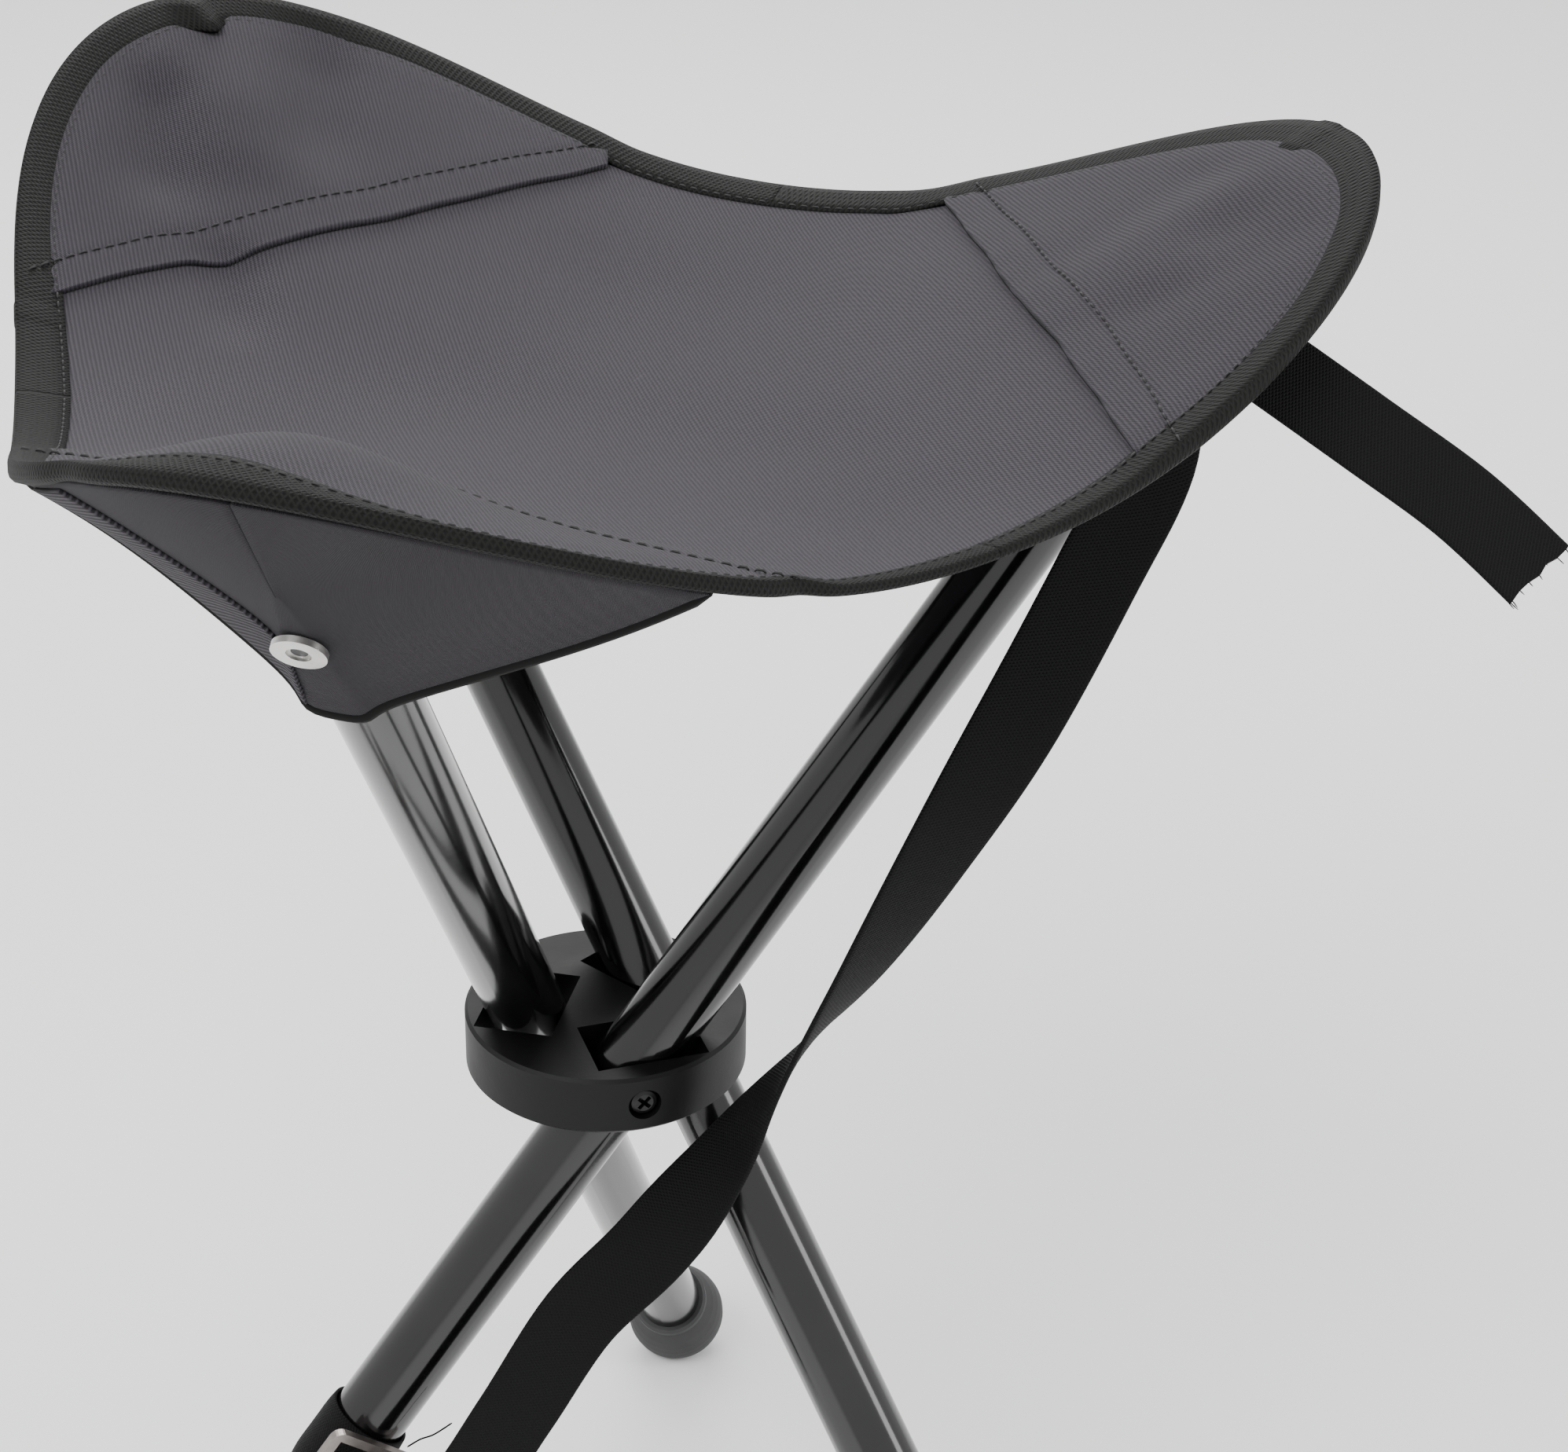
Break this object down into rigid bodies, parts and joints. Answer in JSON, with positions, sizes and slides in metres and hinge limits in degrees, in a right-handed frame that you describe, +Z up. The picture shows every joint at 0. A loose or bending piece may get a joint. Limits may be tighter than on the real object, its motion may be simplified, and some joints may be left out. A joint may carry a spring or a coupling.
{
  "type": "folding three leg stool",
  "caption": "Folding camp stool: tubular legs crossing in a round hub, with a three-cornered cloth seat, rubber feet and a webbing carry strap.",
  "frame": {"origin": "on the floor, on the hub's axis, midway between the three feet", "axes": "+Z up along the hub's axis; +X is the way leg a leans above the hub, and its pivot screw points along -Y"},
  "size_m": [0.3625, 0.3213, 0.4498],
  "materials": {
    "hub_plastic": "fine moulded satin",
    "black_screw": "black oxide",
    "tube_paint": "gloss black powder coat",
    "cap_plastic": "matte",
    "foot_rubber": "satin rubber",
    "seat_cloth": "twill weave",
    "binding_tape": "herringbone tape",
    "rivet_metal": "bright, lightly worn",
    "webbing": "woven webbing",
    "buckle_metal": "dark, worn bright on its edges"
  },
  "bodies": {
    "hub": {"hub": "hub_plastic", "pivot_screw_a": "black_screw", "pivot_screw_b": "black_screw", "pivot_screw_c": "black_screw", "seat_panel": "seat_cloth", "edge_binding": "binding_tape"},
    "leg_a": {"leg_tube_a": "tube_paint", "top_cap_a": "cap_plastic", "foot_a": "foot_rubber", "corner_patch_a": "seat_cloth", "corner_pocket_a": "seat_cloth", "rivet_a": "rivet_metal", "carry_strap": "webbing", "strap_loop": "webbing", "buckle": "buckle_metal", "tie_strap": "webbing"},
    "leg_b": {"leg_tube_b": "tube_paint", "top_cap_b": "cap_plastic", "foot_b": "foot_rubber", "corner_patch_b": "seat_cloth", "corner_pocket_b": "seat_cloth", "rivet_b": "rivet_metal"},
    "leg_c": {"leg_tube_c": "tube_paint", "top_cap_c": "cap_plastic", "foot_c": "foot_rubber", "corner_patch_c": "seat_cloth", "corner_pocket_c": "seat_cloth", "rivet_c": "rivet_metal"}
  },
  "joints": [
    {"name": "leg_a_fold", "type": "hinge", "parent": "hub", "child": "leg_a", "pos_m": [0, -0.019, 0.228], "axis": [0, -1, 0], "range_deg": [0, 36.5], "deforming": ["seat_panel", "edge_binding", "corner_patch_a", "corner_pocket_a", "carry_strap", "tie_strap"]},
    {"name": "leg_b_fold", "type": "hinge", "parent": "hub", "child": "leg_b", "pos_m": [0.01645, 0.0095, 0.228], "axis": [0.866, 0.5, 0], "range_deg": [0, 36.5], "deforming": ["corner_patch_b", "corner_pocket_b"]},
    {"name": "leg_c_fold", "type": "hinge", "parent": "hub", "child": "leg_c", "pos_m": [-0.01645, 0.0095, 0.228], "axis": [-0.866, 0.5, 0], "range_deg": [0, 36.5], "deforming": ["corner_patch_c", "corner_pocket_c"]}
  ],
  "couplings": [
    {"joint": "leg_b_fold", "follows": "leg_a_fold", "ratio": 1},
    {"joint": "leg_c_fold", "follows": "leg_a_fold", "ratio": 1}
  ]
}
